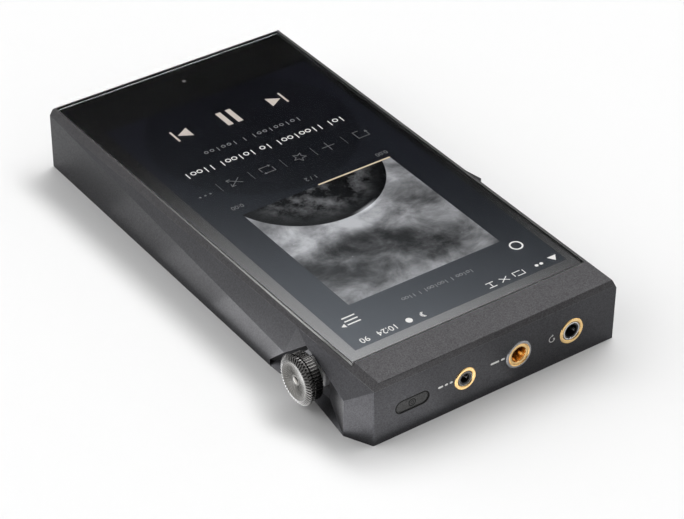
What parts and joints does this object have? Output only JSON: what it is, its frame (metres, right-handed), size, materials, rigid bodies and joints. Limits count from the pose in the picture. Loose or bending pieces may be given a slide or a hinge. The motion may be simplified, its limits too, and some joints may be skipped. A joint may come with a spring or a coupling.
{
  "type": "digital audio player",
  "caption": "Pocket digital audio player: slab body with a glass screen, a volume wheel in a side pocket, headphone jacks and a power key on one end, and side keys.",
  "frame": {"origin": "middle of the footprint, on the surface that the player lies on, screen up", "axes": "+Z out of the screen, +Y towards the end with the headphone jacks and the power key, +X towards the side with the volume wheel"},
  "size_m": [0.0784, 0.1414, 0.0178],
  "materials": {
    "body_metal": "fine bead-blasted dark grey anodised aluminium",
    "frame_metal": "fine bead-blasted dark grey anodised aluminium, brighter along its wheel-side edge",
    "glass": "polished cover glass with a black border printed behind it",
    "display": null,
    "black_tape": "thin black adhesive tape",
    "clear_bond": "clear optical adhesive",
    "foam": "closed-cell foam gasket",
    "flex_film": "amber flexible circuit film",
    "sensor_plastic": "dark moulded sensor window",
    "chassis_metal": "bare rolled aluminium sheet",
    "screw_steel": "plated steel",
    "rear_glass": "black-backed glass",
    "circuit_board": "dark solder mask",
    "shield_metal": "tinned steel sheet",
    "battery_pouch": "laminated aluminium pouch, satin",
    "connector_plastic": "black moulded liquid-crystal polymer",
    "gold": "polished gold plating",
    "key_metal": "fine bead-blasted dark grey anodised aluminium",
    "wheel_metal": "machined, dark plated, bright on the teeth",
    "wheel_cap_metal": "polished and brushed in a radial pattern",
    "steel": "turned steel",
    "light_guide": "clear moulded light guide"
  },
  "bodies": {
    "player_body": {"main_housing": "body_metal", "front_frame": "frame_metal", "front_glass": "glass", "glass_bond": "black_tape", "optical_bond": "clear_bond", "display_panel": "display", "display_foam": "foam", "display_flex": "flex_film", "light_sensor": "sensor_plastic", "chassis": "chassis_metal", "chassis_screws": "screw_steel", "rear_cover": "rear_glass", "rear_bond": "black_tape", "main_board": "circuit_board", "audio_board": "circuit_board", "board_screws": "screw_steel", "board_connector": "connector_plastic", "processor_shield": "shield_metal", "radio_shield": "shield_metal", "memory_shield": "shield_metal", "converter_shield": "shield_metal", "amplifier_shield": "shield_metal", "battery": "battery_pouch", "battery_pad": "foam", "battery_lead": "flex_film", "antenna_module": "connector_plastic", "usb_c_port": "steel", "card_slot": "steel", "power_switch": "connector_plastic", "side_switches": "connector_plastic", "side_key_board": "circuit_board", "volume_encoder": "connector_plastic", "encoder_bushing": "steel", "encoder_nut": "steel", "wheel_light_ring": "light_guide", "jack_3_5_body": "connector_plastic", "jack_4_4_body": "connector_plastic", "jack_2_5_body": "connector_plastic", "jack_3_5_ring": "gold", "jack_4_4_ring": "gold", "jack_2_5_ring": "gold"},
    "volume_wheel": {"wheel_rim": "wheel_metal", "wheel_cap": "wheel_cap_metal", "wheel_shaft": "steel"},
    "power_key": {"power_button": "key_metal"},
    "next_key": {"next_button": "key_metal"},
    "play_key": {"play_button": "key_metal"},
    "previous_key": {"previous_button": "key_metal"}
  },
  "joints": [
    {"name": "volume_wheel_turn", "type": "hinge", "parent": "player_body", "child": "volume_wheel", "pos_m": [0.03637, 0.04883, 0.00793], "axis": [1, 0, 0], "continuous": true},
    {"name": "power_key_press", "type": "slide", "parent": "player_body", "child": "power_key", "axis": [0, -1, 0], "range_m": [0, 0.00035], "stiffness_N_per_m": 200},
    {"name": "next_key_press", "type": "slide", "parent": "player_body", "child": "next_key", "axis": [1, 0, 0], "range_m": [0, 0.00035], "stiffness_N_per_m": 200},
    {"name": "play_key_press", "type": "slide", "parent": "player_body", "child": "play_key", "axis": [1, 0, 0], "range_m": [0, 0.00035], "stiffness_N_per_m": 200},
    {"name": "previous_key_press", "type": "slide", "parent": "player_body", "child": "previous_key", "axis": [1, 0, 0], "range_m": [0, 0.00035], "stiffness_N_per_m": 200}
  ]
}
